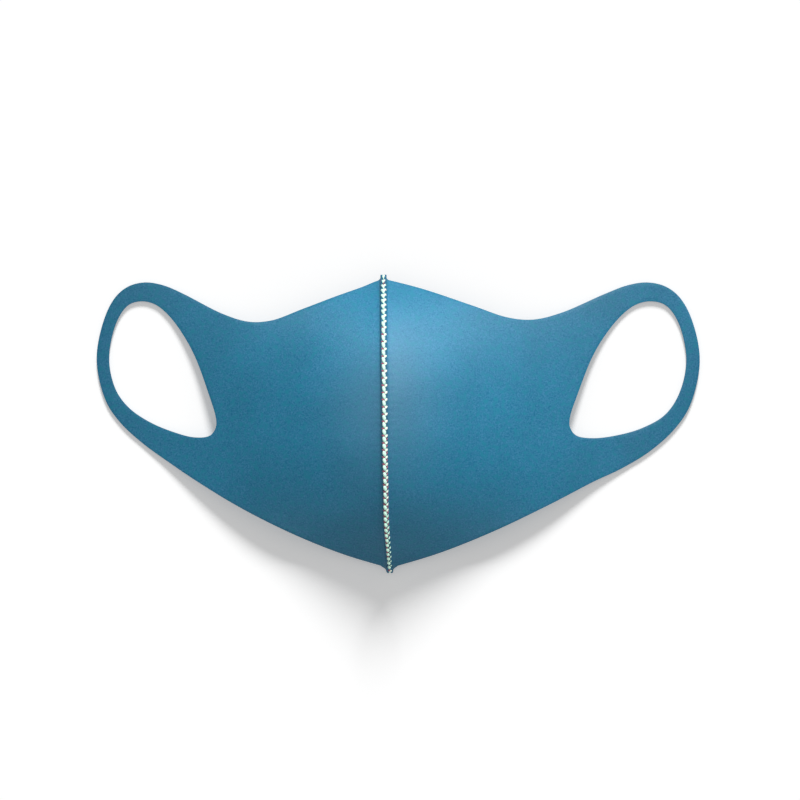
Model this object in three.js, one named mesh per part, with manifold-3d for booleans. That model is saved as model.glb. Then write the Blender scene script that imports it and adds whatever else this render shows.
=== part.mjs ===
// A cloth face mask: two mirrored fabric panels, each cut in one piece with its ear loop, joined by an
// overlocked seam down the middle. It lies front up on a flat surface, on its ear loops and its chin.
// Millimetres. +Z points out of the mask's front, +Y to the nose and +X to the right of the front view.
// Z is 0 at the surface, and the origin is under the middle of the mask's width and height.
import * as THREE from 'three';
import { mergeVertices } from 'three/addons/utils/BufferGeometryUtils.js';
import Module from 'manifold-3d';

// Front view
const SEAM_SPAN = 129.2; // nose corner to chin corner
const LEFT_REACH = 130.3; // middle seam to the far end of the left ear loop
const RIGHT_REACH = 141; // the same on the right, where the mask lies more open
const RIGHT_LOOP_SAG = 3.6; // how much lower the right loop's lower strap lies than the left one's
const SEAM_LEAN = 2.7; // how far the seam's chin end lies to the right of its nose end

// Fabric and its seam
const FABRIC = 1.2; // thickness
const LIP_HEIGHT = 1.9; // how far the sewn edges stand up out of the front
const LIP_GAP = 0.3; // between the two sewn edges
const SEAM_TAIL = 0.5; // how far the sewn edges and the thread run past the nose and chin corners
const THREAD_GAP = 0.2; // between the sewn edges and the thread on them
const THREAD_WIDTH = 2.3;
const THREAD_THICKNESS = 0.6;

// Cup: how the fabric falls from the crest of the seam, which is halfway between nose and chin
const CHIN_FALL = 34; // from the crest to the chin corner
const NOSE_FALL = 26; // from the crest to the nose corner
const BEND_POWER = 2.45; // 2 is a round bend all along the seam, and more is flatter at the crest
const CREST_ANGLE = 15; // degrees that the fabric falls on either side of the seam
const CUP_REACH = 112; // middle seam to where the cup runs out flat on the surface

// Fineness of the solids
const GRID_STEP = 4.2; // between the rows and columns of the fabric's facets
const CURVE_STEPS = 3; // edges between two points of an outline
const CUTTER_DEPTH = 30; // how far the outline's cutter reaches past the cup, below and above
const SLOPE_STEP = 0.01; // between the two heights that give a slope

// One half's outline, from the nose corner round the ear loop to the chin corner. out is a share of the
// half's reach, up a share of half the seam's span, and sag the share of the loop's sag that a point takes.
const OUTLINE = [
  { out: 0, up: 1, sag: 0 },
  { out: 0.12, up: 0.932, sag: 0 },
  { out: 0.28, up: 0.815, sag: 0 },
  { out: 0.39, up: 0.735, sag: 0 },
  { out: 0.47, up: 0.722, sag: 0 },
  { out: 0.56, up: 0.771, sag: 0 },
  { out: 0.7, up: 0.905, sag: 0 },
  { out: 0.77, up: 0.963, sag: 0 },
  { out: 0.83, up: 0.983, sag: 0 },
  { out: 0.885, up: 0.96, sag: 0 },
  { out: 0.93, up: 0.893, sag: 0 },
  { out: 0.97, up: 0.75, sag: 0 },
  { out: 1, up: 0.453, sag: 0.1 },
  { out: 0.97, up: 0.165, sag: 0.6 },
  { out: 0.92, up: 0.01, sag: 0.85 },
  { out: 0.84, up: -0.139, sag: 1 },
  { out: 0.75, up: -0.269, sag: 0.8 },
  { out: 0.66, up: -0.391, sag: 0.25 },
  { out: 0.52, up: -0.562, sag: 0 },
  { out: 0.34, up: -0.746, sag: 0 },
  { out: 0.16, up: -0.898, sag: 0 },
  { out: 0, up: -1, sag: 0 },
];

// The ear hole in the same shares, from its inner corner over the top
const EAR_HOLE = [
  { out: 0.585, up: 0.04, sag: 0 },
  { out: 0.61, up: 0.205, sag: 0 },
  { out: 0.66, up: 0.475, sag: 0 },
  { out: 0.71, up: 0.65, sag: 0 },
  { out: 0.76, up: 0.772, sag: 0 },
  { out: 0.8, up: 0.831, sag: 0 },
  { out: 0.845, up: 0.851, sag: 0 },
  { out: 0.89, up: 0.825, sag: 0 },
  { out: 0.93, up: 0.712, sag: 0 },
  { out: 0.957, up: 0.456, sag: 0.1 },
  { out: 0.935, up: 0.24, sag: 0.5 },
  { out: 0.89, up: 0.113, sag: 0.9 },
  { out: 0.82, up: 0.014, sag: 0.75 },
  { out: 0.74, up: -0.055, sag: 0.45 },
  { out: 0.66, up: -0.096, sag: 0.1 },
  { out: 0.605, up: -0.082, sag: 0 },
  { out: 0.585, up: -0.025, sag: 0 },
];

const LEFT = { reach: LEFT_REACH, sag: 0, sign: -1 };
const RIGHT = { reach: RIGHT_REACH, sag: RIGHT_LOOP_SAG, sign: 1 };
const HALF_SPAN = SEAM_SPAN / 2;
const CREST_HEIGHT = seamFall(-HALF_SPAN - SEAM_TAIL); // so the seam's chin end comes down to the surface

const fabricMaterial = new THREE.MeshStandardMaterial({ color: 0x2f7799, roughness: 0.8, metalness: 0 });
const threadMaterial = new THREE.MeshStandardMaterial({ color: 0xdcf0e6, roughness: 0.7, metalness: 0 });

const wasm = await Module();
wasm.setup();

// How far the seam has fallen from its crest.
function seamFall(y) {
  const endFall = y > 0 ? NOSE_FALL : CHIN_FALL;
  return endFall * (Math.abs(y) / HALF_SPAN) ** BEND_POWER;
}

// Height of the fabric's middle layer, at a distance out from the seam.
function fabricHeight(out, y) {
  const t = out / CUP_REACH;
  if (t >= 1) return FABRIC / 2;
  const slope = (Math.tan(THREE.MathUtils.degToRad(CREST_ANGLE)) * CUP_REACH) / CREST_HEIGHT;
  const side = 1 - slope * t + (2 * slope - 3) * t ** 2 + (2 - slope) * t ** 3;
  const fade = 1 - 3 * t ** 2 + 2 * t ** 3;
  return FABRIC / 2 + CREST_HEIGHT * side - seamFall(y) * fade;
}

function fabricNormal(out, y) {
  const d = SLOPE_STEP / 2;
  const riseOut = fabricHeight(out + d, y) - fabricHeight(out - d, y);
  const riseUp = fabricHeight(out, y + d) - fabricHeight(out, y - d);
  return new THREE.Vector3(-riseOut, -riseUp, SLOPE_STEP).normalize();
}

function toManifold(geometry) {
  const bare = geometry.clone();
  bare.deleteAttribute('normal');
  bare.deleteAttribute('uv');
  const merged = mergeVertices(bare);
  return new wasm.Manifold(new wasm.Mesh({
    numProp: 3,
    vertProperties: new Float32Array(merged.attributes.position.array),
    triVerts: new Uint32Array(merged.index.array),
  }));
}

function toGeometry(solid) {
  const mesh = solid.getMesh();
  const geometry = new THREE.BufferGeometry();
  geometry.setAttribute('position', new THREE.BufferAttribute(new Float32Array(mesh.vertProperties), 3));
  geometry.setIndex(new THREE.BufferAttribute(new Uint32Array(mesh.triVerts), 1));
  return geometry;
}

function smoothPoints(rows, half, closed) {
  const points = rows.map(({ out, up, sag }) =>
    new THREE.Vector3(out * half.reach, up * HALF_SPAN - sag * half.sag, 0));
  const spans = closed ? points.length : points.length - 1;
  const curve = new THREE.CatmullRomCurve3(points, closed, 'centripetal');
  const smooth = curve.getPoints(spans * CURVE_STEPS).map((p) => new THREE.Vector2(p.x, p.y));
  return closed ? smooth.slice(0, -1) : smooth;
}

// The curved layer of fabric before it is cut: a closed slab over a grid, thick along its normals.
function fabricSlab(half) {
  const overrun = 2 * FABRIC;
  const width = half.reach + 2 * overrun;
  const height = SEAM_SPAN + 2 * overrun;
  const columns = Math.round(width / GRID_STEP);
  const rows = Math.round(height / GRID_STEP);
  const front = [];
  const back = [];
  for (let row = 0; row <= rows; row++) {
    for (let column = 0; column <= columns; column++) {
      const out = -overrun + (width * column) / columns;
      const y = -height / 2 + (height * row) / rows;
      const middle = new THREE.Vector3(out, y, fabricHeight(out, y));
      const toFront = fabricNormal(out, y).multiplyScalar(FABRIC / 2);
      front.push(...middle.clone().add(toFront).toArray());
      back.push(...middle.sub(toFront).toArray());
    }
  }
  const layer = (rows + 1) * (columns + 1);
  const at = (row, column) => row * (columns + 1) + column;
  const faces = [];
  for (let row = 0; row < rows; row++) {
    for (let column = 0; column < columns; column++) {
      const [a, b] = [at(row, column), at(row, column + 1)];
      const [c, d] = [at(row + 1, column + 1), at(row + 1, column)];
      faces.push(a, b, c, a, c, d);
      faces.push(layer + a, layer + c, layer + b, layer + a, layer + d, layer + c);
    }
  }
  const rim = [];
  for (let column = 0; column < columns; column++) rim.push(at(0, column));
  for (let row = 0; row < rows; row++) rim.push(at(row, columns));
  for (let column = columns; column > 0; column--) rim.push(at(rows, column));
  for (let row = rows; row > 0; row--) rim.push(at(row, 0));
  rim.forEach((a, i) => {
    const b = rim[(i + 1) % rim.length];
    faces.push(layer + a, layer + b, b, layer + a, b, a);
  });
  const geometry = new THREE.BufferGeometry();
  geometry.setAttribute('position', new THREE.Float32BufferAttribute([...front, ...back], 3));
  geometry.setIndex(faces);
  return toManifold(geometry);
}

// The panel's cut outline as a deep block, straight along the seam and with the ear hole through it.
function outlineCutter(half) {
  const edge = smoothPoints(OUTLINE, half, false);
  edge.forEach((p) => p.setX(Math.max(p.x, LIP_GAP / 2)));
  const shape = new THREE.Shape(edge.reverse());
  shape.holes.push(new THREE.Path(smoothPoints(EAR_HOLE, half, true)));
  const depth = CREST_HEIGHT + 2 * CUTTER_DEPTH;
  const geometry = new THREE.ExtrudeGeometry(shape, { depth, bevelEnabled: false });
  return toManifold(geometry.translate(0, 0, -CUTTER_DEPTH));
}

// A band that follows the seam between two heights over the fabric's middle layer, thick in X.
function seamBand(low, high, width) {
  const end = HALF_SPAN + SEAM_TAIL;
  const steps = Math.round((2 * end) / GRID_STEP);
  const lower = [];
  const upper = [];
  for (let i = 0; i <= steps; i++) {
    const y = -end + (2 * end * i) / steps;
    const z = fabricHeight(0, y);
    const normal = fabricNormal(0, y).setX(0).normalize();
    lower.push(new THREE.Vector2(y + normal.y * low, z + normal.z * low));
    upper.push(new THREE.Vector2(y + normal.y * high, z + normal.z * high));
  }
  const shape = new THREE.Shape([...lower, ...upper.reverse()]);
  const geometry = new THREE.ExtrudeGeometry(shape, { depth: width, bevelEnabled: false });
  const alongSeam = new THREE.Matrix4().makeBasis(
    new THREE.Vector3(0, 1, 0),
    new THREE.Vector3(0, 0, 1),
    new THREE.Vector3(1, 0, 0),
  );
  return geometry.applyMatrix4(alongSeam);
}

// Leans the seam: what lies on it moves sideways with its height on the mask, and the loops' ends stay.
function lean(geometry) {
  const position = geometry.attributes.position;
  for (let i = 0; i < position.count; i++) {
    const reach = position.getX(i) < 0 ? LEFT_REACH : RIGHT_REACH;
    const nearness = Math.max(0, 1 - Math.abs(position.getX(i)) / reach);
    const shift = (-SEAM_LEAN * position.getY(i) * nearness ** 2) / SEAM_SPAN;
    position.setX(i, position.getX(i) + shift);
  }
  return geometry;
}

function mirrored(geometry) {
  geometry.scale(-1, 1, 1);
  const index = geometry.index;
  for (let i = 0; i < index.count; i += 3) {
    const second = index.getX(i + 1);
    index.setX(i + 1, index.getX(i + 2));
    index.setX(i + 2, second);
  }
  return geometry;
}

function panel(name, half) {
  const lip = seamBand(-FABRIC / 4, FABRIC / 2 + LIP_HEIGHT, FABRIC); // rooted inside the fabric
  const sewnEdge = toManifold(lip.translate(LIP_GAP / 2, 0, 0));
  const solid = fabricSlab(half).intersect(outlineCutter(half)).add(sewnEdge);
  let geometry = toGeometry(solid);
  if (half.sign < 0) geometry = mirrored(geometry);
  const mesh = new THREE.Mesh(lean(geometry), fabricMaterial);
  mesh.name = name;
  return mesh;
}

function overlockThread() {
  const low = FABRIC / 2 + LIP_HEIGHT + THREAD_GAP;
  const strip = seamBand(low, low + THREAD_THICKNESS, THREAD_WIDTH).translate(-THREAD_WIDTH / 2, 0, 0);
  const mesh = new THREE.Mesh(lean(strip), threadMaterial);
  mesh.name = 'overlock_thread';
  return mesh;
}

const mask = new THREE.Group();
mask.add(panel('left_panel', LEFT), panel('right_panel', RIGHT), overlockThread());
mask.position.x = (LEFT_REACH - RIGHT_REACH) / 2; // the seam stands beside the middle of the width

export default mask;
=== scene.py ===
"""Looks of a cloth face mask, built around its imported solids.

The two fabric panels and the overlocked seam are modelled again as fine meshes on the same surface as the
solids, from the same sizes. Lengths are in millimetres until a mesh, light or camera is made.
"""

import math

import bmesh
import bpy
import numpy as np
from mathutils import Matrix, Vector, noise
from mathutils.geometry import delaunay_2d_cdt


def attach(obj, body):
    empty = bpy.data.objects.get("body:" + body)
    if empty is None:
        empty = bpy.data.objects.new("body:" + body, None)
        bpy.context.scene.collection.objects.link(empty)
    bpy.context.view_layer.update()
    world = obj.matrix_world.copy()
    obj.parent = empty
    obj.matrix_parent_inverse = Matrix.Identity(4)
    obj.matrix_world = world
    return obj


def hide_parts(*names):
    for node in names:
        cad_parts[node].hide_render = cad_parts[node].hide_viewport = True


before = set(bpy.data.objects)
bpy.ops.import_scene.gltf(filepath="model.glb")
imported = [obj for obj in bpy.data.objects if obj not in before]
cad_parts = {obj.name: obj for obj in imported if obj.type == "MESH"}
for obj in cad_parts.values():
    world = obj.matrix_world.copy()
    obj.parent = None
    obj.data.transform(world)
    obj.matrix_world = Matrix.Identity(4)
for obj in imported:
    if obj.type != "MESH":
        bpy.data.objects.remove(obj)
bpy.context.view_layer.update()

MM = 0.001  # metres in a millimetre

# Front view, as in the solids
SEAM_SPAN = 129.2  # nose corner to chin corner
LEFT_REACH = 130.3  # middle seam to the far end of the left ear loop
RIGHT_REACH = 141.0  # the same on the right, where the mask lies more open
RIGHT_LOOP_SAG = 3.6  # how much lower the right loop's lower strap lies
SEAM_LEAN = 2.7  # how far the seam's chin end lies to the right of its nose end
LEAN_POWER = 3.7  # the seam keeps straight from the nose and bends to the right near the chin
LEAN_MIDDLE = 0.47  # share of the lean at which the seam crosses its own middle
# The sewn line wanders a little, as (height on the mask, millimetres to the right)
WANDER = (
    (-64.6, 0.0), (-55.0, -0.1), (-48.0, -0.3), (-40.0, -0.3), (-30.0, 0.05), (-12.0, 0.15), (2.0, 0.25),
    (18.0, 0.25), (32.0, 0.05), (64.6, 0.0),
)
LEFT_DIP = 1.35  # how much lower the left half's upper edge runs between the nose and the loop
LEFT_DIP_START = 8.0  # how far out from the seam it starts
LEFT_DIP_ENDS = (50.0, 95.0)  # between which distances it dies out again
LEFT_DIP_RISE = 1.4  # half the seam's span over the height at which it is full
HALF_SPAN = SEAM_SPAN / 2
SEAM_X = (LEFT_REACH - RIGHT_REACH) / 2
SIDES = {"left": (-1, LEFT_REACH, 0.0), "right": (1, RIGHT_REACH, RIGHT_LOOP_SAG)}

# Fabric and seam, as in the solids
FABRIC = 1.2  # thickness
LIP_HEIGHT = 1.9  # how far the sewn edges stand up out of the front
LIP_GAP = 0.3  # between the two sewn edges
SEAM_TAIL = 0.5  # how far they run past the nose and chin corners
CHIN_FALL = 34.0  # from the crest to the chin corner
NOSE_FALL = 26.0  # from the crest to the nose corner
BEND_POWER = 2.45  # 2 is a round bend all along the seam, and more is flatter at the crest
CREST_ANGLE = math.radians(15)  # how steeply the fabric falls on either side of the seam
CUP_REACH = 112.0  # middle seam to where the cup runs out flat
SEAM_END = HALF_SPAN + SEAM_TAIL
LIP_OUT = (LIP_GAP + FABRIC) / 2  # from the seam's middle to the middle layer of a sewn edge
RIDGE = 1.0  # how far the fabric beside the seam drops below the solids' smooth slope
RIDGE_REACH = 9.0
RIDGE_FADE = 6.0  # height at which that starts to die out towards the floor

# The turned-up edges, which the thread squeezes
BEND_RADIUS = 1.8  # middle layer of the fabric where it turns up into the seam
CHIN_BEND_RADIUS = 3.0  # the same at the chin, where the fabric turns up from further out
CHIN_BEND_LENGTH = 5.0
CORNER_START = 0.5  # share of the way from the panel's edge to the seam's end at which their foot ends
CORNER_POWER = 0.6  # below 1, the rows above the foot reach out to the seam's end early
LIP_SQUEEZE = 0.72  # share of the fabric's thickness left at the top of the sewn edges
LIP_PINCH = 0.2  # how far the thread pulls each top edge towards the other
STITCH_DENT = 0.12  # depth of the dents that the stitches press into the sewn edges
PUCKER = 0.1  # waves in the fabric beside the seam, one to a stitch
PUCKER_REACH = 3.0
KNOB_SPLAY = 0.95  # how far the sewn edges spread where the seam ends at the chin
KNOB_DROP = 0.6  # how much lower they end
KNOB_LENGTH = 3.4
KNOB_POWER = 0.6  # below 1, the knob is fuller than a sine
KNOB_DROP_RATE = 3  # the drop takes up one part in this many of the knob's length
NUB_SPLAY = 0.35  # how far they spread at the nose end
NUB_LENGTH = 1.5

# Soft waves of the whole fabric
WAVE_HEIGHT = 0.35
WAVE_LENGTH = 30.0
WAVE_FULL_HEIGHT = 6.0  # height over the floor from which they are full
WAVE_FULL_OUT = 20.0  # and distance from the seam
WAVE_PLACE = 3.0  # how far from the noise's middle each side takes its waves

# Fineness of the meshes
EDGE_STEP = 1.1  # between points of a cut edge
GRID_STEP = 1.4  # between points inside a panel
STATION_STEP = 0.6  # along the seam
STRIP_OUTS = (6.6, 5.6, 4.8, 4.2, 3.7)  # rows beside the seam before the fabric turns up
EDGE_CLEARANCE = 0.7  # share of the grid's step that stays free beside a cut edge
SEAM_SAMPLES = 2000  # places at which the seam's length is worked out
SLOPE_STEP = 0.01  # between the two heights that give a slope
SAME_POINT = 1e-6  # points closer than this are one to the triangulation
WELD = 0.02  # and to the finished surface
FILL_RING = 1  # the way of triangulating that fills what the outline encloses
BEND_STEPS = 5
LIP_STEPS = 4
CURVE_STEPS = 12
ROUNDING = 0.28  # of the cut edges
ROUNDING_STEPS = 2
ROUNDED_ANGLE = math.radians(50)  # edges that turn by more than this are rounded

# Overlock stitches: their length along the seam, as (height on the mask, millimetres)
STITCH_LENGTHS = (
    (-65.0, 2.9), (-55.0, 2.9), (-45.0, 3.0), (-30.0, 3.08), (-12.0, 3.1), (0.0, 3.2), (15.0, 3.15),
    (25.0, 3.3), (36.0, 3.45), (42.0, 3.25), (47.0, 2.9), (52.0, 2.8), (65.0, 2.9),
)
STITCH_LEAD = 2.3  # how much of the first stitch lies before the nose end
THREAD_HEIGHTS = (-65.0, 64.4)  # between which heights on the mask the thread stays
THREAD_SIDES = 12
THREAD_STEPS = 16
THREAD_TIP = 0.6  # how far a strand's round end stands out, as a share of its radius
THREAD_SIDE = (0.3, 1.0, 0.2)  # a direction that no strand starts in, from which its sides are counted
PLIES = 3
PLY_DEPTH = 0.1  # share of the thread's radius
PLY_TURNS = 0.5  # turns to a millimetre
MINT, CREAM, RED = range(3)  # the threads, by the places of their materials

# One half's outline and ear hole, as in the solids: shares of the reach, of half the seam's span and of the
# loop's sag
OUTLINE = (
    (0, 1, 0), (0.12, 0.932, 0), (0.28, 0.815, 0), (0.39, 0.735, 0), (0.47, 0.722, 0), (0.56, 0.771, 0),
    (0.7, 0.905, 0), (0.77, 0.963, 0), (0.83, 0.983, 0), (0.885, 0.96, 0), (0.93, 0.893, 0),
    (0.97, 0.75, 0), (1, 0.453, 0.1), (0.97, 0.165, 0.6), (0.92, 0.01, 0.85), (0.84, -0.139, 1),
    (0.75, -0.269, 0.8), (0.66, -0.391, 0.25), (0.52, -0.562, 0), (0.34, -0.746, 0), (0.16, -0.898, 0),
    (0, -1, 0),
)
EAR_HOLE = (
    (0.585, 0.04, 0), (0.61, 0.205, 0), (0.66, 0.475, 0), (0.71, 0.65, 0), (0.76, 0.772, 0),
    (0.8, 0.831, 0), (0.845, 0.851, 0), (0.89, 0.825, 0), (0.93, 0.712, 0), (0.957, 0.456, 0.1),
    (0.935, 0.24, 0.5), (0.89, 0.113, 0.9), (0.82, 0.014, 0.75), (0.74, -0.055, 0.45), (0.66, -0.096, 0.1),
    (0.605, -0.082, 0), (0.585, -0.025, 0),
)

# What one stitch shows, on most of the seam and at its nose end. Each strand's rows are (share of the
# stitch, millimetres across the seam, millimetres above the fabric's middle layer, radius).
LEFT_STRAND = (
    (0.12, -0.5, 1.7, 0.3), (0.17, -0.4, 2.3, 0.5), (0.27, -0.26, 2.6, 0.7), (0.42, -0.1, 2.72, 0.78),
    (0.58, 0.02, 2.68, 0.75), (0.73, 0.1, 2.5, 0.58), (0.84, 0.14, 2.1, 0.34),
)
LEFT_AT_NOSE = (
    (0.0, -1.2, 1.4, 0.32), (0.05, -1.05, 2.1, 0.46), (0.16, -0.76, 2.55, 0.6), (0.34, -0.42, 2.68, 0.66),
    (0.52, -0.14, 2.66, 0.6), (0.68, 0.06, 2.5, 0.46), (0.78, 0.16, 2.2, 0.32),
)
RIGHT_STRAND = (
    (-0.16, 1.2, 1.2, 0.3), (-0.13, 1.08, 1.85, 0.46), (-0.06, 0.88, 2.38, 0.6), (0.04, 0.66, 2.48, 0.54),
    (0.13, 0.46, 2.42, 0.38), (0.2, 0.3, 2.22, 0.26),
)
RIGHT_AT_NOSE = (
    (-0.1, 1.22, 1.3, 0.34), (-0.06, 1.14, 1.95, 0.46), (0.02, 0.88, 2.44, 0.56), (0.16, 0.58, 2.58, 0.54),
    (0.32, 0.3, 2.56, 0.44), (0.48, 0.1, 2.4, 0.3),
)
NOSE_STITCHES = (42.0, 56.0)  # heights between which the stitches change to those of the nose end
NEEDLE_STRAND = (
    (0.89, -1.05, 1.4, 0.26), (0.92, -0.88, 2.0, 0.38), (0.97, -0.58, 2.38, 0.48), (1.02, -0.3, 2.46, 0.46),
    (1.06, -0.05, 2.36, 0.32),
)
NEEDLE_BACK = (
    (0.3, 1.25, 1.3, 0.26), (0.34, 1.12, 1.85, 0.36), (0.42, 0.92, 2.2, 0.42), (0.52, 0.72, 2.25, 0.36),
    (0.6, 0.55, 2.1, 0.26),
)
NEEDLE_HEIGHTS = (-56.5, 45.5)  # where the needle's thread shows between the others, on their left
BACK_HEIGHTS = (-49.0, -4.0)  # and on their right
# Along the seam, as (height on the mask, share): how far apart the strands lie, and how thick they are
STITCH_WIDTHS = (
    (-65.0, 0.7), (-57.0, 0.8), (-48.0, 0.92), (20.0, 0.97), (40.0, 0.92), (50.0, 0.82), (60.0, 0.8),
    (63.5, 0.42),
)
STITCH_WEIGHTS = ((-65.0, 0.86), (-45.0, 0.94), (0.0, 0.98), (60.0, 0.94), (64.0, 0.6))
RIGHT_WEIGHTS = ((-60.0, 0.74), (-30.0, 0.88), (0.0, 1.0))  # a further share for the right strands
# Towards the chin the strands draw together into dots, each around a place (share of the stitch, across)
DOT_HEIGHTS = (-58.0, -38.0)
LEFT_DOT = (0.46, -0.22)
LEFT_DRAW = 0.26  # share of the way that they draw together
RIGHT_DOT = (0.26, 1.35)
RIGHT_DRAW = 0.5
CREAM_END = -38.0  # height below which the right strands are mint too
STITCH_DRIFT = 0.05  # millimetres and shares by which one stitch differs from the next
DRIFT_APART = (1.7, 9.1)  # how far apart in the noise two stitches are, and two of a stitch's measures
DRIFT_PLACE = 0.5  # the noise's third coordinate
# The threads' ends, as rows like those above: one on the second stitch, and three on the last
NOSE_TAIL = (
    (1.55, 1.3, 1.6, 0.24), (1.62, 1.0, 2.5, 0.36), (1.75, 0.45, 3.0, 0.42), (1.9, -0.1, 2.9, 0.36),
    (2.0, -0.6, 2.3, 0.26),
)
CHIN_TAIL = (
    (0.66, -0.7, 1.8, 0.3), (0.56, -0.3, 2.5, 0.44), (0.42, 0.3, 2.8, 0.52), (0.28, 0.95, 2.7, 0.5),
    (0.14, 1.6, 2.0, 0.32),
)
CHIN_NEEDLE = (
    (0.34, -1.5, 2.0, 0.3), (0.3, -1.0, 2.6, 0.42), (0.22, -0.4, 2.8, 0.44), (0.16, 0.2, 2.7, 0.3),
)
CHIN_LOOP = (
    (0.5, -0.95, 1.7, 0.34), (0.68, -0.6, 2.2, 0.5), (0.8, 0.05, 2.4, 0.58), (0.7, 0.65, 2.2, 0.5),
    (0.54, 1.0, 1.7, 0.34),
)

# Camera and lights, in metres
CAMERA_HEIGHT = 3.0
FIELD = 0.36  # width of the frame at the surface
CAMERA_X = 0.0008
CAMERA_Y = 0.0106
SENSOR = 36.0  # millimetres
CAMERA_SIGHT = 10.0  # how far it sees
# A lamp close over the mask, as (place, aim, power, angle of the cone in degrees, radius)
LAMP = ((0.06, 0.14, 0.25), (0.005, 0.012, 0.036), 2.9, 75, 0.045)
# Lamps for the cloth alone, at the nose and over the right and the left loop
CLOTH_LAMPS = (
    ((0.0, 0.10, 0.085), (0.0, 0.04, 0.02), 0.335, 100, 0.035),
    ((0.175, 0.09, 0.05), (0.125, 0.045, 0.0), 0.21, 120, 0.03),
    ((-0.12, 0.08, 0.06), (-0.115, 0.06, 0.0), 0.022, 120, 0.03),
)
# Windows for the mask, as (azimuth from +Y and height in degrees, strength)
WINDOWS = ((-15, 35, 0.41), (35, 25, 0.40), (180, 45, 0.36))
WINDOW_SPREAD = math.radians(24)
# The window for the floor, which throws the shadow there
FLOOR_LIGHT = (3, 25, 1.22)
FLOOR_LIGHT_SPREAD = math.radians(15)
SKY_STRENGTH = 0.3
FLOOR_SIZE = 4.0
FLOOR_GLOW = 0.28

# Colours, linear
BLUE_DEEP = (0.000, 0.076, 0.144, 1)
BLUE_LIGHT = (0.024, 0.124, 0.214, 1)
BLUE_TEAL = (0.006, 0.112, 0.172, 1)
# painted sheen: a paler, greyer blue mixed in around the seam's crest
PAINTED_SHEEN_BLUE = (0.056, 0.112, 0.160, 1)
# the cut edges' dark blue, darkened further as painted shade where the sewn edges' tops show between the
# stitches
CUT_EDGE_SHADE_BLUE = (0.003, 0.048, 0.100, 1)
THREAD_MINT = (0.56, 0.80, 0.68, 1)
THREAD_MINT_DEEP = (0.36, 0.60, 0.48, 1)
THREAD_CREAM = (0.68, 0.74, 0.64, 1)
THREAD_CREAM_DEEP = (0.52, 0.58, 0.48, 1)
THREAD_RED = (0.14, 0.024, 0.055, 1)
THREAD_PINK = (0.34, 0.090, 0.140, 1)
FLOOR_WHITE = (0.9, 0.9, 0.9, 1)
WHITE = (1, 1, 1, 1)

# Fabric: its noises, as (bumps to a metre, detail), and the middle ranges of their values
SPECKLE = (1500, 3)
SPECKLE_RANGE = (0.3, 0.7)
TEAL_DRIFT = (520, 1)
TEAL_RANGE = (0.45, 0.75)
CLOUD = (45, 2)
CLOUD_RANGE = (0.3, 0.7)
CLOUD_SHADES = (0.95, 1.05)
GRAIN = (1900, 3)
GRAIN_DEPTH = 0.00012  # metres
FOAM_GRAIN = 0.45  # strength
CUT_GRAIN = 0.6
FABRIC_ROUGHNESS = 0.45
FABRIC_GLOSS = 0.25
# Painted sheen: the fabric's colour is a little paler around the seam's crest, where light catches it:
# middle and reach, in metres
PAINTED_SHEEN_MIDDLE = (-0.0065, 0.009, 0.03)
PAINTED_SHEEN_REACH = (0.040, 0.052, 0.08)
PAINTED_SHEEN_SHARE = 0.36

# Thread, in the same terms
FIBRES = (2600, 3)
FIBRE_RANGE = (0.35, 0.65)
FIBRE_DEPTH = 0.0001
FIBRE_BUMP = 0.5
THREAD_ROUGHNESS = 0.7
THREAD_GLOSS = 0.3
THREAD_SHEEN = 0.2

# A mix node's sockets for colours, whose names its other sockets have too
MIX_FIRST, MIX_SECOND, MIX_RESULT = 6, 7, 2


def seam_fall(y):
    """How far the seam has fallen from its crest."""
    end_fall = np.where(np.asarray(y) > 0, NOSE_FALL, CHIN_FALL)
    return end_fall * (np.abs(y) / HALF_SPAN) ** BEND_POWER


CREST_HEIGHT = float(seam_fall(-SEAM_END))


def fabric_height(out, y):
    """Height of the fabric's middle layer, at a distance out from the seam."""
    t = np.minimum(np.asarray(out) / CUP_REACH, 1)
    slope = math.tan(CREST_ANGLE) * CUP_REACH / CREST_HEIGHT
    side = 1 - slope * t + (2 * slope - 3) * t**2 + (2 - slope) * t**3
    fade = 1 - 3 * t**2 + 2 * t**3
    height = CREST_HEIGHT * side - seam_fall(y) * fade
    fallen = 1 - np.exp(-np.asarray(out) / RIDGE_REACH)
    ridge = RIDGE * fallen * (1 - np.exp(-((height / RIDGE_FADE) ** 2)))
    return FABRIC / 2 + height - ridge


def seam_frame(y):
    """The seam's base line at y: its points, and its directions up out of the fabric."""
    y = np.atleast_1d(np.asarray(y, float))
    rise = (seam_fall(y - SLOPE_STEP) - seam_fall(y + SLOPE_STEP)) / (2 * SLOPE_STEP)
    length = np.hypot(1, rise)
    base = np.stack([np.zeros_like(y), y, fabric_height(0, y)], 1)
    normal = np.stack([np.zeros_like(y), -rise / length, 1 / length], 1)
    return base, normal


def lengths_along(points):
    """Distance along a line of points from its first."""
    return np.concatenate([[0], np.cumsum(np.linalg.norm(np.diff(points, axis=0), axis=1))])


def seam_stations():
    """A fine row of y values, and their distance along the seam from its nose end."""
    y = np.linspace(SEAM_END, -SEAM_END, SEAM_SAMPLES)
    base, _ = seam_frame(y)
    return y, lengths_along(base)


SEAM_Y, SEAM_LENGTH = seam_stations()


def along(rows, y):
    """A measure given at some heights on the mask, at the height y."""
    heights, values = zip(*rows)
    return np.interp(y, heights, values)


def stitch_starts():
    """Distance along the seam at which each stitch starts, and at which the last one ends."""
    starts = [0.0]
    while starts[-1] < SEAM_LENGTH[-1] + STITCH_LEAD / 2:
        y = np.interp(starts[-1], SEAM_LENGTH, SEAM_Y)
        starts.append(starts[-1] + along(STITCH_LENGTHS, y))
    return np.array(starts) * (SEAM_LENGTH[-1] + STITCH_LEAD) / starts[-1] - STITCH_LEAD


STARTS = stitch_starts()
STITCHES = len(STARTS) - 1


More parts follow.
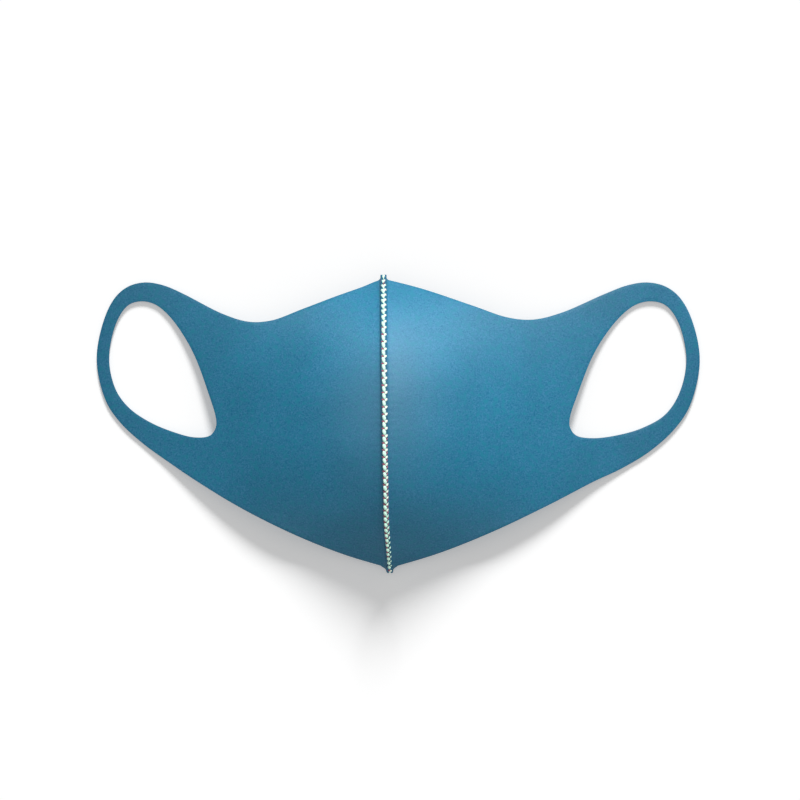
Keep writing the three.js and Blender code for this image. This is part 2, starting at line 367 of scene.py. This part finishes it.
def stitch_at(y):
    """How many stitches lie between the nose end and y."""
    length = np.interp(-np.asarray(y), -SEAM_Y, SEAM_LENGTH)
    return np.interp(length, STARTS, np.arange(STITCHES + 1))


def y_of_stitch(count):
    """Where that many stitches from the nose end are."""
    return np.interp(np.interp(count, np.arange(STITCHES + 1), STARTS), SEAM_LENGTH, SEAM_Y)


def place(points, sign=1):
    """Puts points (out, y, z) on their side of the seam, which leans, and in the part's frame."""
    points = np.array(points, float)
    x = points[:, 0] * sign
    reach = np.where(x < 0, LEFT_REACH, RIGHT_REACH)
    nearness = np.maximum(0, 1 - np.abs(x) / reach)
    down = np.clip((HALF_SPAN - points[:, 1]) / SEAM_SPAN, 0, None)
    lean = SEAM_LEAN * (down**LEAN_POWER - LEAN_MIDDLE) + along(WANDER, points[:, 1])
    dip = LEFT_DIP * (1 - np.exp(-((x / LEFT_DIP_START) ** 2)))
    dip *= 1 - np.interp(-x, LEFT_DIP_ENDS, (0, 1))
    dip *= (x < 0) * np.clip(points[:, 1] / HALF_SPAN * LEFT_DIP_RISE, 0, 1) ** 2
    points[:, 0] = SEAM_X + x + lean * nearness**2
    points[:, 1] -= dip
    return points


def smooth_curve(rows, reach, sag, closed):
    """A centripetal curve through an outline's rows, as (out, y) points."""
    rows = np.array(rows, float)
    knots = np.stack([rows[:, 0] * reach, rows[:, 1] * HALF_SPAN - rows[:, 2] * sag], 1)
    if closed:
        knots = np.concatenate([knots[-1:], knots, knots[:2]])
    else:
        knots = np.concatenate([[2 * knots[0] - knots[1]], knots, [2 * knots[-1] - knots[-2]]])
    points = []
    share = np.linspace(0, 1, CURVE_STEPS, endpoint=False)[:, None]
    for p0, p1, p2, p3 in zip(knots, knots[1:], knots[2:], knots[3:]):
        d0, d1, d2 = (math.sqrt(np.linalg.norm(b - a)) for a, b in ((p0, p1), (p1, p2), (p2, p3)))
        start = ((p1 - p0) / d0 - (p2 - p0) / (d0 + d1) + (p2 - p1) / d1) * d1
        end = ((p2 - p1) / d1 - (p3 - p1) / (d1 + d2) + (p3 - p2) / d2) * d1
        cubic = 2 * p1 - 2 * p2 + start + end
        square = -3 * p1 + 3 * p2 - 2 * start - end
        points.append(p1 + start * share + square * share**2 + cubic * share**3)
    if not closed:
        points.append(knots[-2:-1])
    return np.concatenate(points)


def resample(points, step, closed):
    """The same line with points an even distance apart."""
    if closed:
        points = np.concatenate([points, points[:1]])
    length = lengths_along(points)
    count = round(length[-1] / step)
    at = np.linspace(0, length[-1], count + 1)
    even = np.stack([np.interp(at, length, points[:, i]) for i in range(2)], 1)
    return even[:-1] if closed else even


def inside(points, ring):
    """Which points lie inside a closed ring."""
    found = np.zeros(len(points), bool)
    for a, b in zip(ring, np.roll(ring, -1, 0)):
        crosses = (a[1] > points[:, 1]) != (b[1] > points[:, 1])
        with np.errstate(divide="ignore", invalid="ignore"):
            x = a[0] + (points[:, 1] - a[1]) * (b[0] - a[0]) / (b[1] - a[1])
        found ^= crosses & (points[:, 0] < x)
    return found


def gap_to(points, ring):
    """Distance from each point to the nearest corner of a ring."""
    return np.min(np.linalg.norm(points[:, None] - ring[None], axis=2), axis=1)


def waves(out, y, sign):
    """Soft waves of the fabric, which die out where it lies flat and at the seam."""
    height = fabric_height(out, y) - FABRIC / 2
    share = np.clip(height / WAVE_FULL_HEIGHT, 0, 1) * np.clip(np.asarray(out) / WAVE_FULL_OUT, 0, 1)
    places = [(a / WAVE_LENGTH, b / WAVE_LENGTH, WAVE_PLACE * sign) for a, b in zip(out, y)]
    swell = [noise.noise(Vector(at)) for at in places]
    return WAVE_HEIGHT * share * np.array(swell)


def pucker(out, y):
    """Small waves beside the seam, where each stitch pulls the fabric in."""
    phase = np.cos(2 * math.pi * stitch_at(y))
    return PUCKER * phase * np.exp(-np.asarray(out) / PUCKER_REACH)


def cloth_points(out, y, sign):
    """Points of the middle layer beside the seam, with its waves."""
    return np.column_stack([out, y, fabric_height(out, y) + waves(out, y, sign) + pucker(out, y)])


STATIONS = np.linspace(1, -1, 2 * round(SEAM_END / STATION_STEP) + 1)


def spread(top, bottom):
    """The y of each station of a row beside the seam, between its two ends."""
    return np.where(STATIONS > 0, STATIONS * top, -STATIONS * bottom)


def strip_rows(upper, lower, sign):
    """Rows of points beside the seam, before the fabric turns up, from the outermost in."""
    rows = []
    for out in STRIP_OUTS:
        y = spread(np.interp(out, upper[:, 0], upper[:, 1]), np.interp(out, lower[:, 0], lower[:, 1]))
        rows.append(cloth_points(np.full_like(y, out), y, sign))
    return rows


def seam_bend(y):
    """The bend up into the seam: its first tilt, its radius and its middle's height."""
    _, normal = seam_frame(y)
    slope = math.tan(CREST_ANGLE) + RIDGE / RIDGE_REACH
    tilt = np.arctan(slope * normal[:, 2])
    chin = np.exp(-(((y + HALF_SPAN) / CHIN_BEND_LENGTH) ** 2))
    radius = BEND_RADIUS + (CHIN_BEND_RADIUS - BEND_RADIUS) * chin
    foot_out = LIP_OUT + radius * (1 - np.sin(tilt))
    foot_up = (fabric_height(foot_out, y) - fabric_height(0, y)) * normal[:, 2]
    return tilt, radius, foot_up + radius * np.cos(tilt)


def bend_section(y, step):
    """Out and up of the middle layer at one step of its bend."""
    tilt, radius, middle_up = seam_bend(y)
    turned = tilt + (math.pi / 2 - tilt) * step / BEND_STEPS
    return LIP_OUT + radius * (1 - np.sin(turned)), middle_up - radius * np.cos(turned)


def lip_section(y, climb):
    """Out and up of the middle layer at a share of its climb from the bend to the stitches."""
    _, _, bend_up = seam_bend(y)
    dents = STITCH_DENT * np.cos(2 * math.pi * stitch_at(y))
    from_chin = np.clip((y + SEAM_END) / KNOB_LENGTH, 0, 1)
    splay = KNOB_SPLAY * np.sin(math.pi * from_chin) ** KNOB_POWER
    splay += NUB_SPLAY * np.exp(-(((SEAM_END - y) / NUB_LENGTH) ** 2))
    drop = KNOB_DROP * np.clip(1 - KNOB_DROP_RATE * from_chin, 0, 1) ** 2
    top = FABRIC / 2 + LIP_HEIGHT - STITCH_DENT + dents - drop
    return LIP_OUT - LIP_PINCH * climb + splay * math.sqrt(climb), bend_up + (top - bend_up) * climb


def turned_rows(upper):
    """Rows of points up the turned-up edge, and each row's share of the fabric's thickness."""
    edge_y = np.interp(STRIP_OUTS[-1], upper[:, 0], upper[:, 1])
    foot_end = edge_y + (SEAM_END - edge_y) * CORNER_START
    rows, shares = [], []
    for step, rise in enumerate(np.linspace(0, 1, BEND_STEPS + LIP_STEPS + 1)):
        end = foot_end + (SEAM_END - foot_end) * rise**CORNER_POWER
        y = spread(end, -end)
        climb = max(0, step - BEND_STEPS) / LIP_STEPS
        out, up = lip_section(y, climb) if climb else bend_section(y, step)
        base, normal = seam_frame(y)
        points = base + normal * up[:, None]
        points[:, 0] = out
        if step == 0:
            points[:, 2] += pucker(out, y)
        rows.append(points)
        shares.append(1 - (1 - LIP_SQUEEZE) * climb)
    return rows, shares


def faces_between(rows):
    """Four-sided faces from each row of points to the next."""
    count = len(STATIONS)
    firsts = [row * count + i for row in range(len(rows) - 1) for i in range(count - 1)]
    return [(a, a + 1, a + 1 + count, a + count) for a in firsts]


def flat_grid(ring, hole, reach):
    """Points in rows of triangles inside a panel's outline and clear of its ear hole."""
    xs = np.arange(STRIP_OUTS[0], reach, GRID_STEP)
    ys = np.arange(-HALF_SPAN, HALF_SPAN, GRID_STEP * math.sqrt(3) / 2)
    grid = np.array([(x + GRID_STEP / 2 * (j % 2), y) for j, y in enumerate(ys) for x in xs])
    grid = grid[inside(grid, ring) & ~inside(grid, hole)]
    clearance = EDGE_CLEARANCE * GRID_STEP
    return grid[(gap_to(grid, ring) > clearance) & (gap_to(grid, hole) > clearance)]


def flat_part(edge, strip, reach, sag):
    """A panel beyond its strip beside the seam, as (out, y) points and triangles."""
    border = resample(edge[edge[:, 0] > STRIP_OUTS[0]], EDGE_STEP, closed=False)
    for corner in (strip[0], strip[-1]):
        border = border[np.linalg.norm(border - corner, axis=1) > EDGE_STEP / 2]
    ring = np.concatenate([border, strip[::-1]])
    hole = resample(smooth_curve(EAR_HOLE, reach, sag, closed=True), EDGE_STEP, closed=True)
    flat = np.concatenate([ring, hole, flat_grid(ring, hole, reach)])
    loops = [(i, (i + 1) % len(ring)) for i in range(len(ring))]
    loops += [(len(ring) + i, len(ring) + (i + 1) % len(hole)) for i in range(len(hole))]
    found = delaunay_2d_cdt([Vector(p) for p in flat], loops, [], FILL_RING, SAME_POINT)
    flat = np.array([tuple(p) for p in found[0]])
    triangles = np.array(found[2])
    return flat, triangles[~inside(flat[triangles].mean(1), hole)]


def panel_surface(sign, reach, sag):
    """The middle layer of one panel: points, faces and each point's share of the fabric's thickness."""
    edge = smooth_curve(OUTLINE, reach, sag, closed=False)
    turn = int(np.argmax(edge[:, 0]))
    upper, lower = edge[: turn + 1], edge[turn:][::-1]
    beside = strip_rows(upper, lower, sign)
    turned, shares = turned_rows(upper)
    rows = beside + turned
    flat, triangles = flat_part(edge, beside[0][:, :2], reach, sag)
    first = len(rows) * len(STATIONS)
    faces = faces_between(rows) + [tuple(first + i for i in triangle) for triangle in triangles]
    points = np.concatenate([*rows, cloth_points(flat[:, 0], flat[:, 1], sign)])
    shares = np.repeat([1.0] * len(beside) + shares, len(STATIONS))
    return place(points, sign), faces, np.concatenate([shares, np.ones(len(flat))])


def new_piece(name, points, faces, materials):
    """An object with a mesh of points in metres."""
    mesh = bpy.data.meshes.new(name)
    mesh.from_pydata([tuple(p) for p in points], [], faces)
    for material in materials:
        mesh.materials.append(material)
    piece = bpy.data.objects.new(name, mesh)
    bpy.context.scene.collection.objects.link(piece)
    return piece


def weld(mesh):
    """Joins a panel's rows to its flat part, as one surface that faces up."""
    shape = bmesh.new()
    shape.from_mesh(mesh)
    bmesh.ops.remove_doubles(shape, verts=shape.verts, dist=WELD * MM)
    bmesh.ops.recalc_face_normals(shape, faces=shape.faces)
    if sum(face.normal.z * face.calc_area() for face in shape.faces) < 0:
        bmesh.ops.reverse_faces(shape, faces=shape.faces)
    shape.to_mesh(mesh)
    shape.free()


def thicken(piece):
    """Gives a panel its thickness and rounds its cut edges, which take the second material."""
    solid = piece.modifiers.new("thickness", "SOLIDIFY")
    solid.thickness = FABRIC * MM
    solid.offset = 0
    solid.vertex_group = "thickness"
    solid.material_offset_rim = 1
    rounded = piece.modifiers.new("cut edges", "BEVEL")
    rounded.width = ROUNDING * MM
    rounded.segments = ROUNDING_STEPS
    rounded.limit_method = "ANGLE"
    rounded.angle_limit = ROUNDED_ANGLE
    bpy.context.view_layer.update()
    graph = bpy.context.evaluated_depsgraph_get()
    mesh = bpy.data.meshes.new_from_object(piece.evaluated_get(graph))
    piece.modifiers.clear()
    piece.data = mesh


def panel(side, materials):
    """One half of the mask: its cup half and its ear loop."""
    points, faces, thickness = panel_surface(*SIDES[side])
    piece = new_piece(f"{side}_fabric", points * MM, faces, materials)
    group = piece.vertex_groups.new(name="thickness")
    for i, share in enumerate(thickness):
        group.add([i], share, "REPLACE")
    weld(piece.data)
    thicken(piece)
    piece.data.polygons.foreach_set("use_smooth", [True] * len(piece.data.polygons))
    return piece


def fine_rows(rows):
    """Rows along a smooth curve through a strand's few rows."""
    last = len(rows) - 1
    fine = []
    for at in np.linspace(0, last, THREAD_STEPS):
        i = min(int(at), last - 1)
        p0, p1, p2, p3 = (rows[min(max(j, 0), last)] for j in (i - 1, i, i + 1, i + 2))
        share = at - i
        square = 2 * p0 - 5 * p1 + 4 * p2 - p3
        cubic = 3 * p1 - 3 * p2 + p3 - p0
        fine.append(0.5 * (2 * p1 + (p2 - p0) * share + square * share**2 + cubic * share**3))
    return np.array(fine)


def strand_path(rows, stitch):
    """A strand's centre line and radii on one stitch, from its few rows."""
    rows = np.array(rows, float)
    stitch_apart, measure_apart = DRIFT_APART
    places = [(stitch_apart * stitch, measure_apart * i, DRIFT_PLACE) for i in range(3)]
    drift = [STITCH_DRIFT * noise.noise(Vector(at)) for at in places]
    start = y_of_stitch(stitch)
    rows[:, 0] += drift[0]
    rows[:, 1] = (rows[:, 1] + drift[1]) * along(STITCH_WIDTHS, start)
    rows[:, 3] *= along(STITCH_WEIGHTS, start) * (1 + 2 * drift[2])
    fine = fine_rows(rows)
    y = np.clip(y_of_stitch(stitch + fine[:, 0]), *THREAD_HEIGHTS)
    base, normal = seam_frame(y)
    centre = base + normal * fine[:, 2:3]
    centre[:, 0] = fine[:, 1]
    return centre, fine[:, 3]


def add_strand(rows, stitch, verts, faces):
    """Adds a plied thread along a strand's path to a mesh's points and faces."""
    centre, radius = strand_path(rows, stitch)
    tangent = np.gradient(centre, axis=0)
    tangent /= np.linalg.norm(tangent, axis=1)[:, None]
    twists = 2 * math.pi * PLY_TURNS * PLIES * lengths_along(centre)
    first = len(verts)
    side = Vector(THREAD_SIDE)
    angles = np.linspace(0, 2 * math.pi, THREAD_SIDES, endpoint=False)
    for point, forward, thick, twist in zip(centre, tangent, radius, twists):
        forward = Vector(forward)
        side = (side - forward * side.dot(forward)).normalized()
        other = forward.cross(side)
        for angle in angles:
            ply = 1 + PLY_DEPTH * math.cos(PLIES * angle - twist)
            out = side * math.cos(angle) + other * math.sin(angle)
            verts.append(Vector(point) + out * thick * ply)
    around = [(j, (j + 1) % THREAD_SIDES) for j in range(THREAD_SIDES)]
    for i in range(len(centre) - 1):
        ring = first + i * THREAD_SIDES
        after = ring + THREAD_SIDES
        faces += [(ring + a, ring + b, after + b, after + a) for a, b in around]
    for end, way in ((0, -1), (len(centre) - 1, 1)):
        ring = first + end * THREAD_SIDES
        tip = len(verts)
        verts.append(Vector(centre[end]) + Vector(tangent[end]) * (way * radius[end] * THREAD_TIP))
        faces += [(tip, ring + b, ring + a) if way < 0 else (tip, ring + a, ring + b) for a, b in around]


def stitch_strands(stitch):
    """What one stitch shows, as (stitch, thread, rows)."""
    start = y_of_stitch(stitch)
    nose = np.interp(start, NOSE_STITCHES, (0, 1))
    left = np.array(LEFT_STRAND) * (1 - nose) + np.array(LEFT_AT_NOSE) * nose
    right = np.array(RIGHT_STRAND) * (1 - nose) + np.array(RIGHT_AT_NOSE) * nose
    chin = np.interp(start, DOT_HEIGHTS, (1, 0))
    left[:, :2] += (np.array(LEFT_DOT) - left[:, :2]) * LEFT_DRAW * chin
    right[:, :2] += (np.array(RIGHT_DOT) - right[:, :2]) * RIGHT_DRAW * chin
    right[:, 3] *= along(RIGHT_WEIGHTS, start)
    strands = [(stitch, MINT, left), (stitch, CREAM if start > CREAM_END else MINT, right)]
    if NEEDLE_HEIGHTS[0] < start < NEEDLE_HEIGHTS[1]:
        strands.append((stitch, RED, NEEDLE_STRAND))
    if BACK_HEIGHTS[0] < start < BACK_HEIGHTS[1]:
        strands.append((stitch, RED, NEEDLE_BACK))
    return strands


def seam_thread(materials):
    """All stitches of the overlocked seam as one piece."""
    last = STITCHES - 1
    strands = [
        (1, RED, NOSE_TAIL),
        (last, RED, CHIN_NEEDLE),
        (last, CREAM, CHIN_TAIL),
        (last, MINT, CHIN_LOOP),
    ]
    for stitch in range(last):
        strands += stitch_strands(stitch)
    verts, faces, threads = [], [], []
    for stitch, thread, rows in strands:
        before = len(faces)
        add_strand(rows, stitch, verts, faces)
        threads += [thread] * (len(faces) - before)
    piece = new_piece("seam_stitches", place([tuple(v) for v in verts]) * MM, faces, materials)
    piece.data.polygons.foreach_set("material_index", threads)
    piece.data.polygons.foreach_set("use_smooth", [True] * len(threads))
    return piece


def new_material(name):
    """A material, its nodes and links, and its shader."""
    material = bpy.data.materials.new(name)
    material.use_nodes = True
    nodes = material.node_tree.nodes
    return material, nodes, material.node_tree.links, nodes["Principled BSDF"]


def noise_value(nodes, links, per_metre, detail):
    """Noise over the object's own coordinates, with that many bumps to a metre."""
    coordinates = nodes.new("ShaderNodeTexCoord")
    texture = nodes.new("ShaderNodeTexNoise")
    texture.inputs["Scale"].default_value = per_metre
    texture.inputs["Detail"].default_value = detail
    links.new(coordinates.outputs["Object"], texture.inputs["Vector"])
    return texture.outputs["Fac"]


def mapped(nodes, links, value, source, target=(0, 1)):
    """Spreads a source range of values over a target range."""
    node = nodes.new("ShaderNodeMapRange")
    for socket, number in zip(("From Min", "From Max", "To Min", "To Max"), (*source, *target)):
        node.inputs[socket].default_value = number
    links.new(value, node.inputs["Value"])
    return node.outputs["Result"]


def mixed(nodes, links, share, first, second):
    """A colour between two, each a colour or a node's output."""
    mix = nodes.new("ShaderNodeMix")
    mix.data_type = "RGBA"
    links.new(share, mix.inputs["Factor"])
    for colour, socket in ((first, mix.inputs[MIX_FIRST]), (second, mix.inputs[MIX_SECOND])):
        if isinstance(colour, bpy.types.NodeSocket):
            links.new(colour, socket)
        else:
            socket.default_value = colour
    return mix.outputs[MIX_RESULT]


def bumped(nodes, links, shader, height, strength, depth):
    """Roughens a shader's surface by a noise's values."""
    bump = nodes.new("ShaderNodeBump")
    bump.inputs["Strength"].default_value = strength
    bump.inputs["Distance"].default_value = depth
    links.new(height, bump.inputs["Height"])
    links.new(bump.outputs["Normal"], shader.inputs["Normal"])


def painted_crest_sheen(nodes, links):
    """A share of painted sheen, highest on the seam's crest and falling smoothly to 0 around it."""
    coordinates = nodes.new("ShaderNodeTexCoord")
    mapping = nodes.new("ShaderNodeMapping")
    mapping.vector_type = "TEXTURE"
    mapping.inputs["Location"].default_value = PAINTED_SHEEN_MIDDLE
    mapping.inputs["Scale"].default_value = PAINTED_SHEEN_REACH
    links.new(coordinates.outputs["Object"], mapping.inputs["Vector"])
    ball = nodes.new("ShaderNodeTexGradient")
    ball.gradient_type = "SPHERICAL"
    links.new(mapping.outputs["Vector"], ball.inputs["Vector"])
    share = mapped(nodes, links, ball.outputs["Fac"], (0, 1), (0, PAINTED_SHEEN_SHARE))
    share.node.interpolation_type = "SMOOTHSTEP"
    return share


def fabric_material(name, deep, light, teal, grain):
    """Matt stretch foam fabric: fine mottling, a tint that drifts, a painted sheen that makes the crest
    paler, and a fine grain.
    """
    material, nodes, links, shader = new_material(name)
    speckle = mapped(nodes, links, noise_value(nodes, links, *SPECKLE), SPECKLE_RANGE)
    drift = mapped(nodes, links, noise_value(nodes, links, *TEAL_DRIFT), TEAL_RANGE)
    cloud = mapped(nodes, links, noise_value(nodes, links, *CLOUD), CLOUD_RANGE, CLOUD_SHADES)
    colour = mixed(nodes, links, speckle, deep, light)
    colour = mixed(nodes, links, drift, colour, teal)
    # painted sheen: the colour turns paler around the seam's crest
    colour = mixed(nodes, links, painted_crest_sheen(nodes, links), colour, PAINTED_SHEEN_BLUE)
    shade = nodes.new("ShaderNodeHueSaturation")
    links.new(cloud, shade.inputs["Value"])
    links.new(colour, shade.inputs["Color"])
    links.new(shade.outputs["Color"], shader.inputs["Base Color"])
    bumped(nodes, links, shader, noise_value(nodes, links, *GRAIN), grain, GRAIN_DEPTH)
    shader.inputs["Roughness"].default_value = FABRIC_ROUGHNESS
    shader.inputs["Specular IOR Level"].default_value = FABRIC_GLOSS
    return material


def thread_material(name, light, dark):
    """Spun thread: a fibrous tone and bump."""
    material, nodes, links, shader = new_material(name)
    fibres = noise_value(nodes, links, *FIBRES)
    colour = mixed(nodes, links, mapped(nodes, links, fibres, FIBRE_RANGE), dark, light)
    links.new(colour, shader.inputs["Base Color"])
    bumped(nodes, links, shader, fibres, FIBRE_BUMP, FIBRE_DEPTH)
    shader.inputs["Roughness"].default_value = THREAD_ROUGHNESS
    shader.inputs["Specular IOR Level"].default_value = THREAD_GLOSS
    shader.inputs["Sheen Weight"].default_value = THREAD_SHEEN
    return material


def floor():
    """A pale surface that glows a little, as a light table does."""
    material, _, _, shader = new_material("floor white")
    shader.inputs["Base Color"].default_value = FLOOR_WHITE
    shader.inputs["Roughness"].default_value = 1.0
    shader.inputs["Specular IOR Level"].default_value = 0.0
    shader.inputs["Emission Color"].default_value = WHITE
    shader.inputs["Emission Strength"].default_value = FLOOR_GLOW
    half = FLOOR_SIZE / 2
    corners = ((-half, -half, 0), (half, -half, 0), (half, half, 0), (-half, half, 0))
    piece = new_piece("floor", corners, [(0, 1, 2, 3)], [material])
    return piece


def shine_on(light, pieces):
    """Keeps a light to some pieces."""
    lit = bpy.data.collections.new(f"lit by {light.name}")
    for piece in pieces:
        lit.objects.link(piece)
    light.light_linking.receiver_collection = lit


def add_light(light, direction):
    """Puts a light in the scene, shining in a direction."""
    piece = bpy.data.objects.new(light.name, light)
    piece.rotation_euler = direction.to_track_quat("-Z", "Y").to_euler()
    bpy.context.scene.collection.objects.link(piece)
    return piece


def lamp(at, aim, power, angle, radius):
    """A soft lamp close over the mask."""
    spot = bpy.data.lights.new("lamp", "SPOT")
    spot.energy = power
    spot.spot_size = math.radians(angle)
    spot.spot_blend = 1.0
    spot.shadow_soft_size = radius
    piece = add_light(spot, Vector(aim) - Vector(at))
    piece.location = at
    return piece


def window(azimuth, height, strength, spread_angle):
    """A distant soft light, which comes from an azimuth and a height in degrees."""
    azimuth, height = math.radians(azimuth), math.radians(height)
    sun = bpy.data.lights.new("window", "SUN")
    sun.energy = strength * math.pi
    sun.angle = spread_angle
    level = math.cos(height)
    towards = Vector((level * math.sin(azimuth), level * math.cos(azimuth), math.sin(height)))
    return add_light(sun, -towards)


def sky():
    """A white world, which fills the shadows."""
    world = bpy.data.worlds.new("studio")
    world.use_nodes = True
    background = world.node_tree.nodes["Background"]
    background.inputs["Color"].default_value = WHITE
    background.inputs["Strength"].default_value = SKY_STRENGTH
    bpy.context.scene.world = world


def lights(cloth, thread, ground):
    """Lamps and windows for the mask, a window for the floor, and the sky."""
    mask = (*cloth, thread)
    shine_on(lamp(*LAMP), mask)
    for values in CLOTH_LAMPS:
        shine_on(lamp(*values), cloth)
    for values in WINDOWS:
        shine_on(window(*values, WINDOW_SPREAD), mask)
    shine_on(window(*FLOOR_LIGHT, FLOOR_LIGHT_SPREAD), [ground])
    sky()


def camera():
    """Looks straight down on the mask, with its nose up in the picture."""
    scene = bpy.context.scene
    lens = bpy.data.cameras.new("camera")
    lens.sensor_width = SENSOR
    lens.lens = SENSOR * CAMERA_HEIGHT / FIELD
    lens.clip_end = CAMERA_SIGHT
    view = bpy.data.objects.new("camera", lens)
    view.location = (CAMERA_X, CAMERA_Y, CAMERA_HEIGHT)
    scene.collection.objects.link(view)
    scene.camera = view
    scene.view_settings.view_transform = "Standard"


camera()
ground = floor()

foam = fabric_material("blue foam fabric", BLUE_DEEP, BLUE_LIGHT, BLUE_TEAL, FOAM_GRAIN)
# cut edges in a darker blue: partly their own colour, partly painted shade between the stitches
cut = fabric_material("cut edge of the fabric, darkened as painted shade", CUT_EDGE_SHADE_BLUE, BLUE_DEEP, CUT_EDGE_SHADE_BLUE, CUT_GRAIN)
mint = thread_material("upper looper thread", THREAD_MINT, THREAD_MINT_DEEP)
cream = thread_material("lower looper thread", THREAD_CREAM, THREAD_CREAM_DEEP)
red = thread_material("needle thread", THREAD_PINK, THREAD_RED)

left = panel("left", (foam, cut))
right = panel("right", (foam, cut))
stitches = seam_thread((mint, cream, red))
lights((left, right), stitches, ground)

for piece, node, slot in (
    (left, "left_panel", "blue_fabric"),
    (right, "right_panel", "blue_fabric"),
    (stitches, "overlock_thread", "white_thread"),
):
    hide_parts(node)
    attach(piece, "root")
